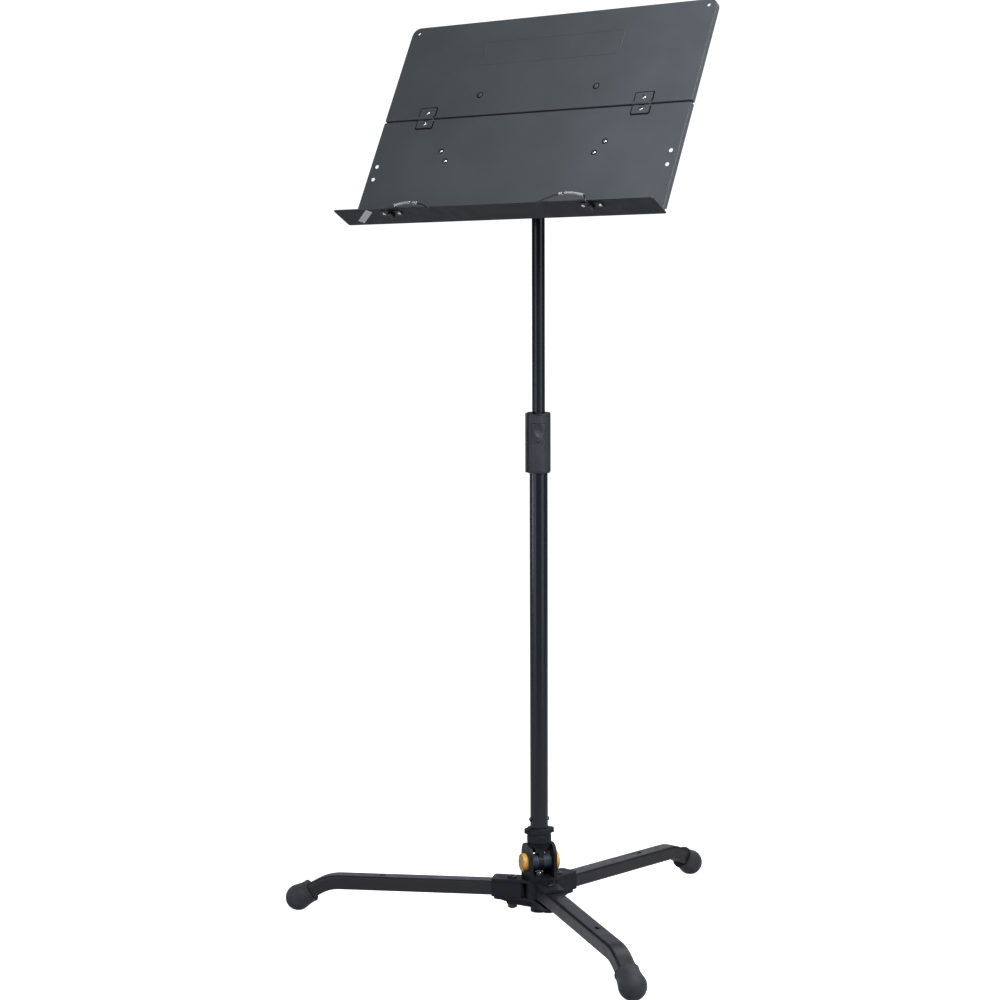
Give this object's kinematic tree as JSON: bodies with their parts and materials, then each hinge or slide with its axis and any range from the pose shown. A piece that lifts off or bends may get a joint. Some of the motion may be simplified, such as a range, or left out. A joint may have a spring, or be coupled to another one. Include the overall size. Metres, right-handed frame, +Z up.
{
  "type": "music stand",
  "caption": "Folding music stand: a solid desk of two hinged panels with a tray and wire page retainers, on a telescopic mast with a squeeze clutch and a swivelling tripod base.",
  "frame": {"origin": "on the floor, at the centre of the footprint of the whole stand", "axes": "+Z up the mast, -Y the way the desk faces, +X to the player's right as they face the desk"},
  "size_m": [0.6496, 0.6106, 1.2784],
  "materials": {
    "desk": "fine textured charcoal powder coat",
    "tube": "semi-gloss black paint",
    "leg": "satin black paint",
    "casting": "satin black paint on a cast or forged part",
    "plastic": "moulded black nylon",
    "rubber": "matte black rubber",
    "yellow": "amber moulded plastic",
    "steel": "bright zinc plate",
    "dark_steel": "black oxide",
    "washer": "natural nylon"
  },
  "bodies": {
    "base": {"hub_top_plate": "casting", "hub_fork": "casting", "hub_casting": "casting", "hub_bolt": "dark_steel", "hub_nut": "steel", "front_leg": "leg", "front_foot": "rubber", "left_leg_bolt": "dark_steel", "rear_leg_bolt": "dark_steel", "front_leg_bolt": "dark_steel", "left_leg_nut": "steel", "rear_leg_nut": "steel", "fold_pin": "steel", "lock_drum_left": "plastic", "lock_drum_right": "plastic", "lock_spring_left": "steel", "lock_spring_right": "steel"},
    "left_leg": {"left_leg": "leg", "left_foot": "rubber", "left_leg_washer": "washer"},
    "rear_leg": {"rear_leg": "leg", "rear_foot": "rubber", "rear_leg_washer": "washer"},
    "lock_button_left": {"lock_button_left": "yellow"},
    "lock_button_right": {"lock_button_right": "yellow"},
    "mast": {"mast_knuckle": "casting", "outer_tube": "tube", "collar_screw_left": "dark_steel", "collar_screw_right": "dark_steel", "clutch_housing": "plastic", "lever_pin": "steel", "clutch_spring": "steel"},
    "lever": {"clutch_lever": "plastic"},
    "plate": {"lock_plate": "steel"},
    "swivel": {"swivel_bush": "plastic"},
    "slide": {"inner_tube": "tube", "inner_tube_bush": "plastic", "tilt_head": "casting"},
    "desk": {"lower_panel": "desk", "rear_bracket": "dark_steel", "bracket_rivet_left_upper": "steel", "bracket_rivet_left_lower": "steel", "bracket_rivet_right_upper": "steel", "bracket_rivet_right_lower": "steel", "tilt_bolt": "dark_steel", "tilt_nut": "steel", "hinge_left_lower_leaf": "leg", "hinge_right_lower_leaf": "leg", "hinge_left_pin": "steel", "hinge_right_pin": "steel", "retainer_clip_left": "dark_steel", "retainer_clip_right": "dark_steel"},
    "upper": {"upper_panel": "desk", "upper_rail": "dark_steel", "rail_rivet_left": "steel", "rail_rivet_right": "steel", "hinge_left_upper_leaf": "leg", "hinge_right_upper_leaf": "leg"},
    "retainer_left": {"retainer_arm_left": "steel"},
    "retainer_right": {"retainer_arm_right": "steel"}
  },
  "joints": [
    {"name": "left_leg_swivel", "type": "hinge", "parent": "base", "child": "left_leg", "pos_m": [-0.01132, -0.08148, 0.049], "axis": [0, 0, 1], "range_deg": [0, 118]},
    {"name": "rear_leg_swivel", "type": "hinge", "parent": "base", "child": "rear_leg", "pos_m": [0.03027, -0.02825, 0.049], "axis": [0, 0, -1], "range_deg": [0, 118]},
    {"name": "lock_button_left_press", "type": "slide", "parent": "base", "child": "lock_button_left", "axis": [0.6157, 0.788, 0], "range_m": [0, 0.002], "stiffness_N_per_m": 800, "springref_m": -0.003, "deforming": ["lock_spring_left"]},
    {"name": "lock_button_right_press", "type": "slide", "parent": "base", "child": "lock_button_right", "axis": [-0.6157, -0.788, 0], "range_m": [0, 0.002], "stiffness_N_per_m": 800, "springref_m": -0.003, "deforming": ["lock_spring_right"]},
    {"name": "mast_fold", "type": "hinge", "parent": "base", "child": "mast", "pos_m": [0.02484, -0.06687, 0.089], "axis": [0.6157, 0.788, 0], "range_deg": [0, 90]},
    {"name": "clutch_lever_squeeze", "type": "hinge", "parent": "mast", "child": "lever", "pos_m": [0.03236, -0.07844, 0.68], "axis": [-0.8387, -0.5446, 0], "range_deg": [0, 5], "stiffness_Nm_per_rad": 3, "springref_deg": -2.86},
    {"name": "lock_plate_tilt", "type": "hinge", "parent": "mast", "child": "plate", "pos_m": [0.01765, -0.0558, 0.693], "axis": [0.8387, 0.5446, 0], "range_deg": [0, 1.5], "deforming": ["clutch_spring"]},
    {"name": "mast_swivel", "type": "hinge", "parent": "mast", "child": "swivel", "pos_m": [0.02484, -0.06687, 0.7], "axis": [0, 0, 1], "continuous": true},
    {"name": "height_slide", "type": "slide", "parent": "swivel", "child": "slide", "axis": [0, 0, 1], "range_m": [-0.24, 0.18]},
    {"name": "desk_tilt", "type": "hinge", "parent": "slide", "child": "desk", "pos_m": [0.02484, -0.06687, 1.07], "axis": [-1, 0, 0], "range_deg": [-27.5, 62.5]},
    {"name": "upper_panel_hinge", "type": "hinge", "parent": "desk", "child": "upper", "pos_m": [0.02484, -0.08766, 1.13877], "axis": [1, 0, 0], "range_deg": [0, 178]},
    {"name": "retainer_left_hinge", "type": "hinge", "parent": "desk", "child": "retainer_left", "pos_m": [-0.13616, -0.19631, 1.00109], "axis": [0, -0.887, 0.4617], "range_deg": [0, 90]},
    {"name": "retainer_right_hinge", "type": "hinge", "parent": "desk", "child": "retainer_right", "pos_m": [0.18584, -0.19631, 1.00109], "axis": [0, 0.887, -0.4617], "range_deg": [0, 90]}
  ],
  "couplings": [
    {"joint": "lock_plate_tilt", "follows": "clutch_lever_squeeze", "ratio": 0.3}
  ]
}
